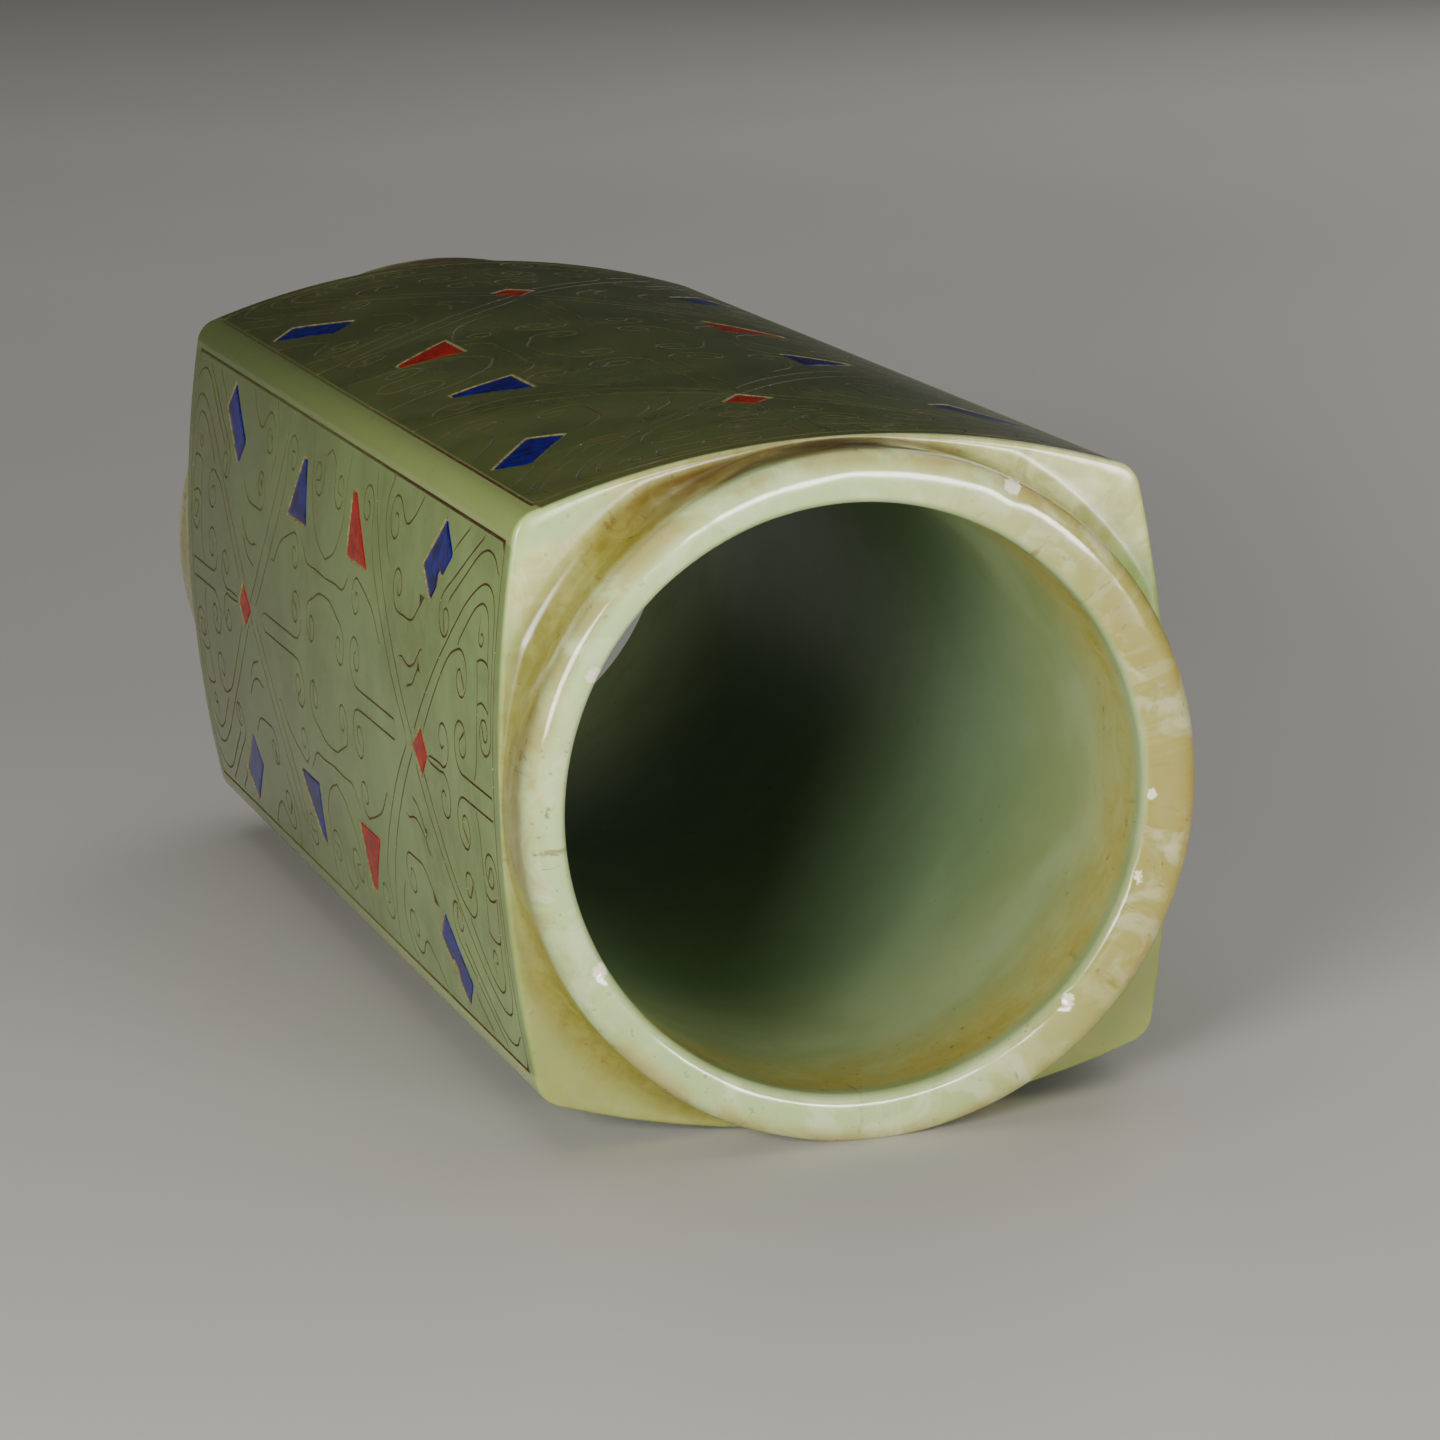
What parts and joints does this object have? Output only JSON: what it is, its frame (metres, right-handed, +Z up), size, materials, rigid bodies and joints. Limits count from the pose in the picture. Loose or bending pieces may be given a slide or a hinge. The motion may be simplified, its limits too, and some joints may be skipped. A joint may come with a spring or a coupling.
{
  "type": "jade cong",
  "caption": "Tall jade cong lying on one face: square tube with swelling sides, round bore and collars, inlaid with blue and red stones.",
  "frame": {"origin": "on the ground under the middle of the tube, on the small resting flat of the bottom face", "axes": "+Y along the bore, from the mouth that the picture shows to the far mouth; +Z up out of the top face; +X to the right seen from the near mouth"},
  "size_m": [0.068, 0.175, 0.0676],
  "materials": {
    "jade": "polished",
    "lapis": "polished",
    "coral": "polished"
  },
  "bodies": {
    "root": {"coral_nose_bottom_far": "coral", "coral_nose_bottom_near": "coral", "coral_nose_left_far": "coral", "coral_nose_left_near": "coral", "coral_nose_right_far": "coral", "coral_nose_right_near": "coral", "coral_nose_top_far": "coral", "coral_nose_top_near": "coral", "coral_wedge_bottom_far_a": "coral", "coral_wedge_bottom_far_b": "coral", "coral_wedge_left_near_a": "coral", "coral_wedge_left_near_b": "coral", "coral_wedge_right_near_a": "coral", "coral_wedge_right_near_b": "coral", "coral_wedge_top_far_a": "coral", "coral_wedge_top_far_b": "coral", "jade_body": "jade", "lapis_eye_bottom_far_a": "lapis", "lapis_eye_bottom_far_b": "lapis", "lapis_eye_bottom_near_a": "lapis", "lapis_eye_bottom_near_b": "lapis", "lapis_eye_left_far_a": "lapis", "lapis_eye_left_far_b": "lapis", "lapis_eye_left_near_a": "lapis", "lapis_eye_left_near_b": "lapis", "lapis_eye_right_far_a": "lapis", "lapis_eye_right_far_b": "lapis", "lapis_eye_right_near_a": "lapis", "lapis_eye_right_near_b": "lapis", "lapis_eye_top_far_a": "lapis", "lapis_eye_top_far_b": "lapis", "lapis_eye_top_near_a": "lapis", "lapis_eye_top_near_b": "lapis", "lapis_wedge_bottom_near_a": "lapis", "lapis_wedge_bottom_near_b": "lapis", "lapis_wedge_left_far_a": "lapis", "lapis_wedge_left_far_b": "lapis", "lapis_wedge_right_far_a": "lapis", "lapis_wedge_right_far_b": "lapis", "lapis_wedge_top_near_a": "lapis", "lapis_wedge_top_near_b": "lapis"}
  },
  "joints": []
}
